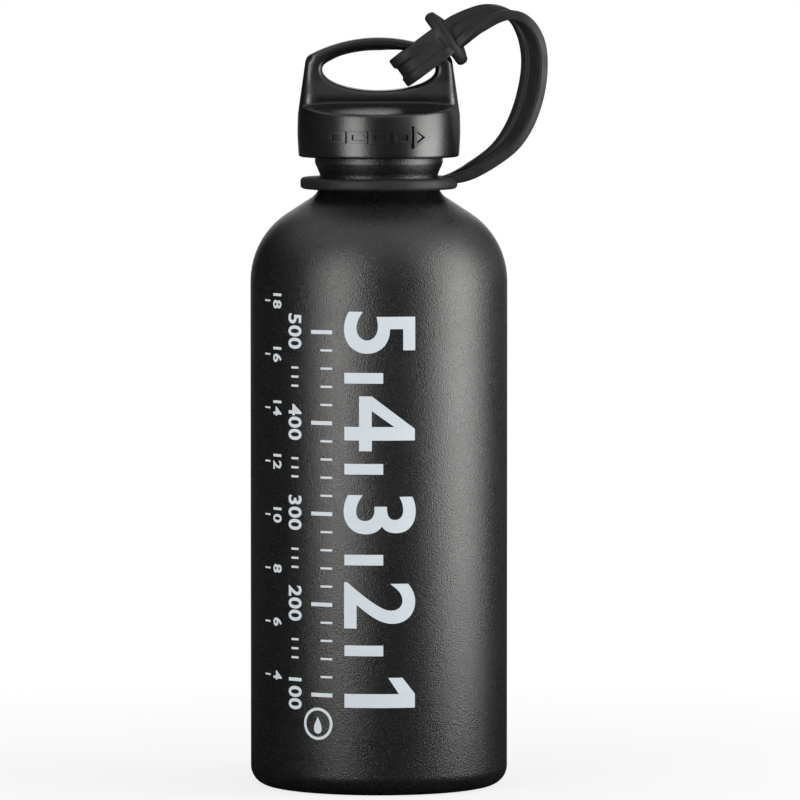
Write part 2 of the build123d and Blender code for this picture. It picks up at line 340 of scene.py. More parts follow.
def swept_piece(name, middle, width_axis, thickness_axis, section):
    """A closed section of (across, through) points carried along a middle line with its own two axes."""
    across, through = section[..., 0], section[..., 1]
    if section.ndim == 2:
        across, through = across[None], through[None]
    grid = (
        middle[:, None]
        + across[..., None] * width_axis[:, None]
        + through[..., None] * thickness_axis[:, None]
    )
    return piece_from_grid(name, grid)


def joined(name, pieces):
    """One piece of several closed meshes."""
    work = bmesh.new()
    for piece in pieces:
        work.from_mesh(piece.data)
        bpy.data.objects.remove(piece)
    mesh = bpy.data.meshes.new(name)
    work.to_mesh(mesh)
    work.free()
    return linked_object(name, mesh)


def with_modifiers(piece):
    """The piece with its modifiers worked into its mesh."""
    mesh = evaluated_mesh(piece)
    piece.modifiers.clear()
    piece.data = mesh
    mesh.shade_smooth()
    return piece


def moulded(piece, voxel, rounds, share_rounded):
    """Closed meshes that run into each other become one skin, its seams and edges rounded as in a mould.

    share_rounded gives for each vertex, from its place in millimetres, how much of the rounding it takes.
    """
    remesh = piece.modifiers.new("one_skin", "REMESH")
    remesh.mode = "VOXEL"
    remesh.voxel_size = voxel * MM
    remesh.adaptivity = 0
    with_modifiers(piece)
    count = len(piece.data.vertices)
    places = np.empty(count * 3)
    piece.data.vertices.foreach_get("co", places)
    share = share_rounded(places.reshape(-1, 3) / MM)
    group = piece.vertex_groups.new(name="rounded")
    for level in range(1, 5):
        chosen = np.flatnonzero(np.round(share * 4) == level)
        group.add(chosen.tolist(), level / 4, "REPLACE")
    smooth = piece.modifiers.new("rounded_seams", "SMOOTH")
    smooth.factor = 0.5
    smooth.iterations = rounds
    smooth.vertex_group = "rounded"
    return with_modifiers(piece)


# Bottle


def bottle_outline():
    """Half section of the bottle: outside from the punt up to the rim, then the inside back down."""
    rise = tan(radians(shoulder_angle))
    drop = wall / cos(radians(shoulder_angle))
    stand_inner = body_radius - base_corner - stand_width
    punt_edge = stand_inner - punt_width
    inner = body_radius - wall
    inner_shoulder = shoulder_start + wall * rise - drop
    inner_flare = shoulder_start + (body_radius - bore_radius) * rise - drop
    return rounded_outline(
        [
            (0, punt_depth, 0),
            (punt_edge, punt_depth, punt_curve),
            (stand_inner, 0, stand_curve),
            (body_radius, 0, base_corner),
            (body_radius, shoulder_start, shoulder_curve),
            (neck_radius, flare_corner, flare_curve),
            (neck_radius, finish_bottom, groove_curve),
            (finish_radius, finish_bottom + finish_slope, finish_curve),
            (finish_radius, rim, rim_edge),
            (bore_radius, rim, rim_edge),
            (bore_radius, inner_flare, bore_curve),
            (inner, inner_shoulder, shoulder_curve - wall),
            (inner, base_floor, base_corner - wall),
            (stand_inner, base_floor, stand_curve),
            (punt_edge, punt_depth + base_floor, punt_curve),
            (0, punt_depth + base_floor, 0),
        ],
        steps=arc_steps,
    )


def thread_section(side):
    """Ridge of the thread: wide on its wall, narrow at its tip, side +1 outwards or -1 inwards."""
    return np.array(
        [
            (-side * thread_sunk, -thread_root),
            (side * thread_depth, -thread_tip),
            (side * thread_depth, thread_tip),
            (-side * thread_sunk, thread_root),
        ]
    )


def make_bottle(coat, bare_metal):
    """Shell of the bottle and the thread inside its neck."""
    shell = turned_piece("bottle_shell_coated", bottle_outline(), bare_from=8 * arc_steps)
    shell.data.materials.append(coat)
    shell.data.materials.append(bare_metal)
    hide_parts("bottle_shell")
    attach(shell, "bottle")

    thread = helix_piece(
        "neck_thread", bore_radius, thread_lead, thread_turns, thread_start, thread_section(-1), thread_fade
    )
    thread.data.materials.append(bare_metal)
    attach(thread, "bottle")


# Cap


def make_cap_inside(plug_plastic, seal_rubber, steel):
    """Thread of the plug and the lock spring; the plug and its seal are the solids themselves."""
    start = thread_start - thread_lead / 2
    thread = helix_piece(
        "plug_thread", plug_radius, thread_lead, thread_turns, start, thread_section(1), thread_fade
    )
    thread.data.materials.append(plug_plastic)
    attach(thread, "plug")

    low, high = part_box("lock_spring")
    angle = np.linspace(0, 2 * pi, 12, endpoint=False)
    wire = np.stack([np.cos(angle), np.sin(angle)], axis=-1) * spring_wire / 2
    lead = ((high.z - low.z) / MM - spring_wire) / spring_turns
    bottom = low.z / MM + spring_wire / 2
    spring = helix_piece("lock_spring_wire", spring_radius, lead, spring_turns, bottom, wire)
    spring.data.materials.append(steel)
    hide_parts("lock_spring")
    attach(spring, "plug")
    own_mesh(spring)

    for node, material in (("cap_plug", plug_plastic), ("plug_seal", seal_rubber)):
        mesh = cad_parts[node].data
        mesh.materials.clear()
        mesh.materials.append(material)


def post_edge(name, side):
    """Outer edge of one of the handle's posts: a rounded plan carried up the lean of the post."""
    inner_corner = 0.3
    height = np.linspace(post_edge_low, post_edge_high, 24)
    reach = shelf_radius - post_sink - handle_lean * (height - shelf_front)
    places, depths, widths, rounds = np.array(post_edge_plan).T
    rows = []
    for k, level in enumerate(height):
        depth = np.interp(level, places, depths) - post_sink
        width = np.interp(level, places, widths)
        corner = np.interp(level, places, rounds)
        inner = reach[k] - width
        plan = rounded_outline(
            [
                (inner, -depth, inner_corner),
                (reach[k], -depth, corner),
                (reach[k], depth, corner),
                (inner, depth, inner_corner),
            ],
            closed=True,
        )
        rows.append(np.column_stack([side * plan[:, 0], plan[:, 1], np.full(len(plan), level)]))
    return piece_from_grid(name, np.array(rows))


def crown_bar():
    """Flat bar along the upper left of the window, whose middle line is the window's own ellipse."""
    turn = np.radians(np.linspace(bar_from, bar_to, 40))
    middle = np.column_stack(
        [window_width / 2 * np.cos(turn), 0 * turn, window_center + window_height / 2 * np.sin(turn)]
    )
    heading = unit(np.gradient(middle, axis=0))
    width_axis = np.tile([0.0, 1.0, 0.0], (len(turn), 1))
    from_end = np.minimum(np.degrees(turn) - (bar_from - 2), bar_to + 4 - np.degrees(turn))
    fade = np.clip(from_end / bar_fade, 0.15, 1)
    ring = np.linspace(0, 2 * pi, 24, endpoint=False)
    across = bar_half_depth * np.cos(ring) + 0 * fade[:, None]
    oval = np.stack([across, bar_gain * np.sin(ring) * fade[:, None]], axis=-1)
    return swept_piece("crown_bar", middle, width_axis, np.cross(heading, width_axis), oval)


def shelf_swell():
    """Low swell on the cap's sloping shelf.

    Its height over the slope is swell * (1 - (r / shelf radius)^4), and the cone of the shoulders limits it.
    """
    angle = np.linspace(0, 2 * pi, 120, endpoint=False)
    radius = np.linspace(0, shelf_radius - swell_inset, 40)[:, None]
    aside = np.abs(radius * np.sin(angle))
    slope = shelf_front + (shelf_radius - aside) * tan(radians(shelf_slope))
    swollen = slope - post_sink + swell * (1 - (radius / shelf_radius) ** 4)
    shoulder = shelf_front - 0.2 + (shelf_radius - radius) / tan(radians(side_lean))
    top = np.minimum(swollen, shoulder)
    bottom = np.full_like(top, shelf_front - swell_sunk)
    reach = radius + 0 * angle
    radius_all = np.concatenate([reach, reach[::-1]])
    height = np.concatenate([bottom, top[::-1]])
    grid = np.stack([radius_all * np.cos(angle), radius_all * np.sin(angle), height], axis=-1)
    return piece_from_grid("shelf_swell", grid, closed_ends=False)


def make_cap_shell(cap_plastic):
    """Outer cap: the solid's mesh, fuller post edges, a swollen shelf and a bar as one rounded skin."""
    solid = finished_piece("cap_solid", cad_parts["cap_outer_shell"].data.copy())
    solid.data.materials.clear()
    edges = [post_edge("right_post_edge", 1), post_edge("left_post_edge", -1)]
    shell = joined("cap_outer_shell_moulded", [solid, shelf_swell(), crown_bar()] + edges)

    def outside(places):
        """1 on the drum's outside and above the shelf's front edge, and 0 in the cap's inside."""
        reach = np.hypot(places[:, 0], places[:, 1])
        on_drum = np.clip((reach - (shelf_radius - 1.2)) / 0.5, 0, 1)
        above = np.clip((places[:, 2] - (shelf_front - skin_depth)) / skin_depth, 0, 1)
        return np.maximum(on_drum, above)

    moulded(shell, cap_voxel, cap_rounds, outside)
    shell.data.materials.append(cap_plastic)
    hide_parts("cap_outer_shell")
    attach(shell, "cap")


# Lanyard


def strap_section(width, thickness, web):
    """Section of the strap: two rims joined by a thinner web, sunk on both faces."""
    half, rim_half, web_half = width / 2, thickness / 2, web / 2
    inner, foot = web_width / 2 + 0.5, web_width / 2 - 0.1
    quarter = [(half, rim_half, rib_edge), (inner, rim_half, web_edge), (foot, web_half, web_edge)]
    top = quarter + [(-x, y, r) for x, y, r in reversed(quarter)]
    bottom = [(-x, -y, r) for x, y, r in top]
    return rounded_outline(top + bottom, steps=5, closed=True)


def strap_line():
    """Points along the strap's middle line, a spline with the route's points as its controls."""
    curve = bpy.data.curves.new("strap_route", "CURVE")
    curve.dimensions = "3D"
    curve.resolution_u = 24
    spline = curve.splines.new("NURBS")
    spline.points.add(len(strap_route) - 1)
    for point, place in zip(spline.points, strap_route):
        point.co = (*(value * MM for value in place), 1)
    spline.order_u = 3
    spline.use_endpoint_u = True
    route = linked_object("strap_route", curve)
    line = evaluated_mesh(route)
    points = np.array([vertex.co for vertex in line.vertices]) / MM
    bpy.data.objects.remove(route)
    step = np.linalg.norm(np.diff(points, axis=0), axis=1)
    run = np.concatenate([[0], np.cumsum(step)])
    even = np.linspace(0, run[-1], 150)
    return np.stack([np.interp(even, run, points[:, k]) for k in range(3)], axis=-1)


def unit(vectors):
    return vectors / np.linalg.norm(vectors, axis=-1, keepdims=True)


def rolled_axes(heading, roll):
    """Width and thickness axes of a strap: +Y made square to the heading, then turned about it by roll."""
    across = np.array([0.0, 1.0, 0.0]) - heading * heading[:, 1:2]
    across = unit(across)
    square = np.cross(heading, across)
    turn = np.radians(roll)[:, None]
    width_axis = across * np.cos(turn) + square * np.sin(turn)
    return width_axis, np.cross(heading, width_axis)


def make_strap(rubber):
    """Free stretch of the strap: the ribbed section carried along the route's spline, rolled as it goes."""
    middle = strap_line()
    heading = unit(np.gradient(middle, axis=0))
    share = np.linspace(0, 1, len(middle))
    knots = np.array(strap_roll)
    roll = smooth_between(share, knots[:, 0], knots[:, 1])
    width_axis, thickness_axis = rolled_axes(heading, roll)
    section = strap_section(strap_width, strap_thickness, web_thickness)
    overlap = 0.4 * heading[:1]
    strap = swept_piece(
        "lanyard_strap_ribbed",
        np.concatenate([middle[:1] - overlap, middle]),
        np.concatenate([width_axis[:1], width_axis]),
        np.concatenate([thickness_axis[:1], thickness_axis]),
        np.concatenate([0.97 * section[None], np.repeat(section[None], len(middle), axis=0)]),
    )
    strap.data.materials.append(rubber)
    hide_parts("lanyard_strap")
    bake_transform(strap)


def eased(t, start, start_slope, end, end_slope):
    """Cubic from start to end as t goes from 0 to 1, with the slope given at each end."""
    return (
        (2 * t**3 - 3 * t**2 + 1) * start
        + (t**3 - 2 * t**2 + t) * start_slope
        + (3 * t**2 - 2 * t**3) * end
        + (t**3 - t**2) * end_slope
    )


def smooth_between(share, places, values):
    """Values read between knots with a slope that is the same on both sides of each knot."""
    slope = np.gradient(values, places)
    k = np.clip(np.searchsorted(places, share, side="right") - 1, 0, len(places) - 2)
    gap = places[k + 1] - places[k]
    t = (share - places[k]) / gap
    return eased(t, values[k], gap * slope[k], values[k + 1], gap * slope[k + 1])


def make_neck_ring(rubber):
    """Ring round the neck with the strap's root as a tongue, moulded as one."""
    top = ring_bottom + ring_thickness
    outline = rounded_outline(
        [
            (ring_bore, ring_bottom, ring_bore_round),
            (ring_radius, ring_bottom, ring_edge_round),
            (ring_radius, top, ring_edge_round),
            (ring_bore, top, ring_bore_round),
        ],
        closed=True,
    )
    ring = turned_piece("ring", np.concatenate([outline, outline[:1]]))
    line = strap_line()
    heading_end = unit(line[1] - line[0])
    start, end = np.array(tongue_root), line[0]
    share = np.linspace(0, 1, 28)[:, None]
    reach = np.linalg.norm(end - start)
    middle = eased(share, start, reach * np.array([1.0, 0, 0.1]), end, reach * heading_end)
    heading = unit(np.gradient(middle, axis=0))
    width_axis, thickness_axis = rolled_axes(heading, strap_roll[0][1] * share[:, 0] ** 1.3)
    plain = strap_section(tongue_width, tongue_thickness, tongue_web)
    ribbed = strap_section(strap_width, strap_thickness, web_thickness)
    section = plain + (ribbed - plain) * np.clip(share * 1.6, 0, 1)[:, :, None]
    tongue = swept_piece("tongue", middle, width_axis, thickness_axis, section)
    piece = joined("neck_ring_moulded", [ring, tongue])
    piece.data.materials.append(rubber)
    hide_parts("neck_ring")
    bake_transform(piece)


def make_cap_loop(rubber):
    """Strap folded round the handle, and the oval collar that closes the fold."""
    slope = radians(loop_slope)
    down = np.array([-cos(slope), 0, -sin(slope)])
    across = np.array([-sin(slope), 0, cos(slope)])
    front = np.array([0, -1.0, 0])
    fold = loop_depth - 0.6
    path = rounded_outline(
        [
            (-0.3, loop_neck_depth, 0),
            (loop_neck_run, loop_depth, loop_neck_run),
            (loop_fold, loop_depth, fold),
            (loop_fold, -loop_depth, fold),
            (loop_neck_run, -loop_depth, loop_neck_run),
            (-0.3, -loop_neck_depth, 0),
        ],
        steps=12,
    )
    step = np.linalg.norm(np.diff(path, axis=0), axis=1)
    run = np.concatenate([[0], np.cumsum(step)])
    even = np.linspace(0, run[-1], 110)
    u = np.interp(even, run, path[:, 0])[:, None]
    v = np.interp(even, run, path[:, 1])[:, None]
    middle = np.array(loop_center) + u * down + v * front
    heading = unit(np.gradient(middle, axis=0))
    width_axis = np.repeat(across[None], len(middle), axis=0)
    thickness_axis = np.cross(heading, width_axis)
    section = strap_section(strap_width, loop_thickness, loop_web)
    band = swept_piece("band", middle, width_axis, thickness_axis, section)

    turn = np.linspace(0, 2 * pi, 96, endpoint=False)
    lip = np.linspace(-pi / 2, pi / 2, 17)
    rim_share = 1 - collar_edge / collar_width * (1 - np.cos(lip))
    dome = np.linspace(0, 0.95, 7)
    inset = np.concatenate([dome * rim_share[0], rim_share, [0.0]])
    rise = np.concatenate([-1 - collar_dome * (1 - dome**2), np.sin(lip), [1.0]]) * collar_thickness / 2
    grid = (
        np.array(loop_center)
        + (collar_thickness / 2 - collar_lip) * down
        + inset[:, None, None] * np.cos(turn)[None, :, None] * collar_width / 2 * across
        + inset[:, None, None] * np.sin(turn)[None, :, None] * collar_depth / 2 * front
        + rise[:, None, None] * down
    )
    collar = piece_from_grid("collar", grid, closed_ends=False)
    piece = joined("cap_loop_folded", [band, collar])
    piece.data.materials.append(rubber)
    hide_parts("lanyard_cap_loop")
    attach(piece, "plug")


# Print on the coat and the mark on the cap


def numeral(text, height, bold):
    """Mesh of plain numerals lying flat, in millimetres: x along the line, y up, centred on the origin."""
    curve = bpy.data.curves.new("numeral", "FONT")
    curve.body = text
    curve.size = height / 0.72
    curve.offset = bold
    curve.space_character = 1.08
    curve.extrude = 0.5
    holder = linked_object("numeral", curve)
    mesh = evaluated_mesh(holder)
    bpy.data.objects.remove(holder)
    points = np.array([vertex.co for vertex in mesh.vertices])
    middle = (points.min(axis=0) + points.max(axis=0)) / 2
    points -= [middle[0], middle[1], 0]
    mesh.vertices.foreach_set("co", points.ravel())
    return mesh


def flat_shape(outline, hole=None):
    """Slab of one outline, 1 mm thick about z = 0, with at most one hole that has as many points."""
    outline = np.array(outline, float)
    if hole is None:
        loops, top = [outline], [list(range(len(outline)))]
    else:
        count = len(outline)
        loops = [outline, np.array(hole, float)]
        top = [[k, (k + 1) % count, count + (k + 1) % count, count + k] for k in range(count)]
    flat = np.concatenate(loops)
    total = len(flat)
    points = np.concatenate([np.c_[flat, np.full(total, 0.5)], np.c_[flat, np.full(total, -0.5)]])
    faces = top + [[index + total for index in reversed(face)] for face in top]
    first = 0
    for loop in loops:
        ring = [first + k for k in range(len(loop))]
        faces += [[a, b, b + total, a + total] for a, b in zip(ring, ring[1:] + ring[:1])]
        first += len(loop)
    mesh = bpy.data.meshes.new("shape")
    mesh.from_pydata(points.tolist(), [], faces)
    return mesh


def bar(across, height, shift=0.0):
    """Slab of a plain bar whose middle is at (shift, 0)."""
    left, right, half = shift - across / 2, shift + across / 2, height / 2
    return flat_shape([(left, -half), (right, -half), (right, half), (left, half)])


hair = 0.01


def large_four():
    """Slabs of a plain numeral 4, 20 mm high and centred on the origin, a hair apart so that none overlap."""
    stem = [(8.6, 0), (12.4, 0), (12.4, 20), (9.2, 20), (8.6, 19.2)]
    stub = [(12.4 + hair, 4.2), (15.4, 4.2), (15.4, 7.8), (12.4 + hair, 7.8)]
    arm = [(0, 4.2), (8.6 - hair, 4.2), (8.6 - hair, 7.8), (0, 7.8)]
    slope = [(0, 7.8 + hair), (4.1, 7.8 + hair), (8.6 - hair, 14.1), (8.6 - hair, 19.18)]
    return [flat_shape(np.array(shape, float) - (7.7, 10)) for shape in (stem, stub, arm, slope)]


def large_one():
    """Slabs of a plain numeral 1, 20 mm high and centred on the origin, a hair apart."""
    stem = [(0, 0), (3.9, 0), (3.9, 20), (0, 20)]
    flag = [(-hair, 20), (-4.6, 16.4), (-4.6, 12.4), (-hair, 15.4)]
    return [flat_shape(np.array(shape, float) - (0.6, 10)) for shape in (stem, flag)]


def wrapped(name, parts, radius, sunk, proud, strip=0.8):
    """Flat meshes cut into strips and bent round the bottle's axis, their faces at -sunk and +proud.

    A part is (mesh, place along the girth from the front, height, turned): turned ones read downwards.
    """
    work = bmesh.new()
    for mesh, along, height, turned in parts:
        points = np.array([vertex.co for vertex in mesh.vertices])
        if turned:
            points = np.c_[points[:, 1], -points[:, 0], points[:, 2]]
        points[:, :2] += [along, height]
        mesh.vertices.foreach_set("co", points.ravel())
        work.from_mesh(mesh)
    bmesh.ops.remove_doubles(work, verts=work.verts, dist=0.001)
    along = [vertex.co.x for vertex in work.verts]
    for cut in np.arange(min(along) + strip / 2, max(along), strip):
        everything = list(work.verts) + list(work.edges) + list(work.faces)
        bmesh.ops.bisect_plane(work, geom=everything, plane_co=(cut, 0, 0), plane_no=(1, 0, 0), dist=0.0001)
    bmesh.ops.recalc_face_normals(work, faces=work.faces)
    for vertex in work.verts:
        angle = vertex.co.x / radius
        reach = radius + (proud if vertex.co.z > 0 else -sunk)
        vertex.co = Vector((reach * sin(angle), -reach * cos(angle), vertex.co.y)) * MM
    bmesh.ops.triangulate(work, faces=work.faces)
    mesh = bpy.data.meshes.new(name)
    work.to_mesh(mesh)
    work.free()
    return linked_object(name, mesh)


def circle(radius, count=64):
    return [(radius * cos(2 * pi * k / count), radius * sin(2 * pi * k / count)) for k in range(count)]


def drop_outline(size, count=40):
    """Drop of fuel: x = s sin a sin(a / 2)^1.4, y = s cos a, with its tip up."""
    angle = np.linspace(0, 2 * pi, count, endpoint=False)
    wide = 0.72 * size * np.sin(angle) * np.abs(np.sin(angle / 2)) ** 1.4
    return np.stack([wide, size * np.cos(angle)], axis=-1)


def make_gauge(ink):
    """Filling gauge in the place of the print: numerals and ladders at true levels, and a ring mark."""
    floor_level = base_floor + 1.5
    step = 100000 / (pi * (body_radius - wall) ** 2)
    drawn = {1: large_one, 4: large_four}
    parts = []
    for count in range(1, 6):
        level = floor_level + count * step
        shapes = drawn[count]() if count in drawn else [numeral(str(count), numeral_height, 0.5)]
        parts += [(shape, numeral_line, level, True) for shape in shapes]
        parts.append((bar(6.6, 1.1), ladder_line - 0.2, level, False))
        parts.append((numeral(f"{count}00", hundreds_height, 0.16), hundreds_line, level, True))
        if count > 1:
            for share in (0.4, 0.5, 0.6):
                parts.append((bar(2.6, 0.6), hundreds_line, level - step * share, False))
            parts.append((bar(11.0, 3.0, -4.5), numeral_line, level - step / 2, False))
    for count in range(5, 26):
        if count % 5:
            level = floor_level + count * step / 5
            parts.append((bar(3.6, 0.6), ladder_line + 1.3, level, False))
    for ounces in range(4, 19, 2):
        level = floor_level + ounces * step * ounce
        parts.append((numeral(str(ounces), ounce_height, 0.13), ounce_line + 3.2, level, True))
        parts.append((bar(2.8, 0.5), ounce_line - 1.6, level, False))
    parts.append((flat_shape(circle(4.55), circle(3.75)), ladder_line - 1.4, 20.4, False))
    parts.append((flat_shape(drop_outline(2.4)), ladder_line - 1.4, 20.0, False))
    gauge = wrapped("fill_gauge_print", parts, body_radius, print_sunk, print_proud)
    gauge.data.materials.append(ink)
    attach(gauge, "bottle")


def make_turn_arrow(cap_plastic):
    """Raised arrow for the opening turn on the front of the cap's drum."""
    line, dash, half_shaft = arrow_line, arrow_dash, arrow_shaft / 2
    inner = half_shaft - line
    outside = [(0, -half_shaft), (dash, -half_shaft), (dash, half_shaft), (0, half_shaft)]
    inside = [(line, -inner), (dash - line, -inner), (dash - line, inner), (line, inner)]
    parts = [(flat_shape(outside, inside), arrow_left + arrow_pitch * k, 0, False) for k in range(4)]
    half_head = arrow_head_width / 2
    hollow_half = half_head - 1.6 * line
    hollow_tip = arrow_head_length - 2.1 * line
    head = [(0, -half_head), (arrow_head_length, 0), (0, half_head)]
    hollow = [(line, -hollow_half), (hollow_tip, 0), (line, hollow_half)]
    parts.append((flat_shape(head, hollow), arrow_head_left, 0, False))
    arrow = wrapped("turn_arrow", parts, arrow_radius, arrow_sunk, arrow_proud, strip=0.6)
    for vertex in arrow.data.vertices:
        vertex.co.z += arrow_height * MM
    bevel = arrow.modifiers.new("soft_edge", "BEVEL")
    bevel.width = 0.4 * MM
    bevel.segments = 2
    bevel.limit_method = "ANGLE"
    arrow.data.materials.append(cap_plastic)
    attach(arrow, "cap")


# Materials


def add_node(tree, kind, inputs=None, **settings):
    """Node with its settings and the plain values of its inputs."""
    node = tree.nodes.new(kind)
    for key, value in settings.items():
        setattr(node, key, value)
    for key, value in (inputs or {}).items():
        node.inputs[key].default_value = value
    return node


def mapped(tree, source, ranges):
    """Socket clamped and mapped from one range to another: (from low, from high, to low, to high)."""
    names = ("From Min", "From Max", "To Min", "To Max")
    node = add_node(tree, "ShaderNodeMapRange", dict(zip(names, ranges)))
    tree.links.new(source, node.inputs["Value"])
    return node.outputs["Result"]


def new_group(name, sizes, outputs):
    """Shader group whose inputs are sizes in millimetres and whose outputs are plain numbers.

    Gives the group, and a function that makes the noise scale of a size input and one that feeds an output.
    """
    group = bpy.data.node_groups.new(name, "ShaderNodeTree")
    for size, value in sizes:
        socket = group.interface.new_socket(size, in_out="INPUT", socket_type="NodeSocketFloat")
        socket.default_value = value
    for output in outputs:
        group.interface.new_socket(output, in_out="OUTPUT", socket_type="NodeSocketFloat")
    inside = group.nodes.new("NodeGroupInput")
    outside = group.nodes.new("NodeGroupOutput")

    def scale_of(size):
        divide = add_node(group, "ShaderNodeMath", {0: 1 / MM}, operation="DIVIDE")
        group.links.new(inside.outputs[size], divide.inputs[1])
        return divide.outputs[0]

    def feed(output, source):
        group.links.new(source, outside.inputs[output])

    return group, scale_of, feed


def grain_group():
    """Fine grain: bumps of one size, and a mask of small specks that is 1 where a cell's random number is
    high, for painted sparkle.
    """
    group, scale_of, feed = new_group("fine_grain", [("Grain", 0.6), ("Sparkle Size", 0.35)], ["Height", "Painted Sparkle"])
    place = add_node(group, "ShaderNodeTexCoord")
    noise = add_node(group, "ShaderNodeTexNoise", {"Detail": 2.0, "Roughness": 0.6})
    cells = add_node(group, "ShaderNodeTexVoronoi")
    for texture, size in ((noise, "Grain"), (cells, "Sparkle Size")):
        group.links.new(place.outputs["Object"], texture.inputs["Vector"])
        group.links.new(scale_of(size), texture.inputs["Scale"])
    feed("Height", noise.outputs["Fac"])
    chosen = add_node(group, "ShaderNodeSeparateColor")
    group.links.new(cells.outputs["Color"], chosen.inputs["Color"])
    feed("Painted Sparkle", mapped(group, chosen.outputs["Red"], (0.9, 1.0, 0.0, 1.0)))
    return group


def mottle_group():
    """Slow change over the surface, from 0 to 1, as of handling and moulding."""
    group, scale_of, feed = new_group("slow_mottle", [("Patch", 12.0)], ["Patches"])
    place = add_node(group, "ShaderNodeTexCoord")
    noise = add_node(group, "ShaderNodeTexNoise", {"Detail": 3.0, "Roughness": 0.55})
    group.links.new(place.outputs["Object"], noise.inputs["Vector"])
    group.links.new(scale_of("Patch"), noise.inputs["Scale"])
    feed("Patches", mapped(group, noise.outputs["Fac"], (0.3, 0.7, 0.0, 1.0)))
    return group


fine_grain = grain_group()
slow_mottle = mottle_group()


def new_material(
    name,
    color,
    roughness,
    specular=0.5,
    metallic=0.0,
    grain=0.6,
    depth=0.02,
    patch=12.0,
    spread=0.1,
    painted_sparkle=0.0,
):
    """Principled material with grain, patches and painted sparkle.

    grain and patch are sizes and depth is a height, in millimetres; spread is the share by which patches
    lighten the colour and roughen the surface, and the last argument is the colour that the specks add as
    painted sparkle, standing in for glints.
    """
    material = bpy.data.materials.new(name)
    material.use_nodes = True
    tree = material.node_tree
    shader = tree.nodes["Principled BSDF"]
    shader.inputs["Specular IOR Level"].default_value = specular
    shader.inputs["Metallic"].default_value = metallic
    small = add_node(tree, "ShaderNodeGroup", node_tree=fine_grain)
    small.inputs["Grain"].default_value = grain
    small.inputs["Sparkle Size"].default_value = grain * 0.6
    large = add_node(tree, "ShaderNodeGroup", node_tree=slow_mottle)
    large.inputs["Patch"].default_value = patch
    patches = large.outputs["Patches"]

    tone = add_node(tree, "ShaderNodeMix", data_type="RGBA")
    tone.inputs["A"].default_value = (*(value * (1 - spread) for value in color), 1)
    tone.inputs["B"].default_value = (*(value * (1 + spread) for value in color), 1)
    tree.links.new(patches, tone.inputs["Factor"])
    # Painted sparkle: lighter specks in the colour, standing in for glints.
    light = add_node(tree, "ShaderNodeMix", data_type="RGBA", blend_type="ADD")
    light.inputs["B"].default_value = (painted_sparkle, painted_sparkle, painted_sparkle, 1)
    tree.links.new(small.outputs["Painted Sparkle"], light.inputs["Factor"])
    tree.links.new(tone.outputs["Result"], light.inputs["A"])
    tree.links.new(light.outputs["Result"], shader.inputs["Base Color"])

    low, high = roughness * (1 - spread), roughness * (1 + spread)
    tree.links.new(mapped(tree, patches, (0.0, 1.0, low, high)), shader.inputs["Roughness"])
    bump = add_node(tree, "ShaderNodeBump", {"Distance": depth * MM, "Strength": 1.0})
    tree.links.new(small.outputs["Height"], bump.inputs["Height"])
    tree.links.new(bump.outputs["Normal"], shader.inputs["Normal"])
    return material


# The coat's lighter specks are painted sparkle.
coat = new_material(
    "powder_coat_black", (0.0048, 0.0048, 0.005), 0.28, specular=1.0, grain=0.43, depth=0.14, painted_sparkle=0.03
)
bare = new_material("bare_aluminium", (0.62, 0.62, 0.63), 0.38, metallic=1.0, grain=0.3, depth=0.004)
ink = new_material("gauge_ink", (0.62, 0.68, 0.73), 0.5, specular=0.3, grain=0.4, depth=0.006, spread=0.03)
cap_plastic = new_material(
    "cap_plastic_satin", (0.0045, 0.0045, 0.0049), 0.27, specular=1.0, grain=0.34, depth=0.03, patch=6.0
)
plug_plastic = new_material("plug_plastic", (0.02, 0.02, 0.022), 0.36, specular=0.4, grain=0.9, depth=0.01)
seal_rubber = new_material("seal_rubber", (0.02, 0.02, 0.02), 0.6, specular=0.3, grain=0.25, depth=0.01)
steel = new_material("spring_steel", (0.55, 0.55, 0.54), 0.26, metallic=1.0, grain=0.2, depth=0.002)
rubber = new_material(
    "lanyard_rubber",
    (0.0125, 0.0127, 0.013),
    0.55,
    specular=0.45,
    grain=0.35,
    depth=0.012,
    patch=5.0,
    spread=0.18,
)

make_bottle(coat, bare)
make_cap_inside(plug_plastic, seal_rubber, steel)
make_cap_shell(cap_plastic)
make_neck_ring(rubber)
make_strap(rubber)
make_cap_loop(rubber)
make_gauge(ink)
make_turn_arrow(cap_plastic)


# Stage, lights and camera


def combined(tree, first, second, operation="MAXIMUM"):
    """Two sockets made into one: the larger of them, or what another operation gives."""
    node = add_node(tree, "ShaderNodeMath", operation=operation)
    tree.links.new(first, node.inputs[0])
    tree.links.new(second, node.inputs[1])
    return node.outputs[0]


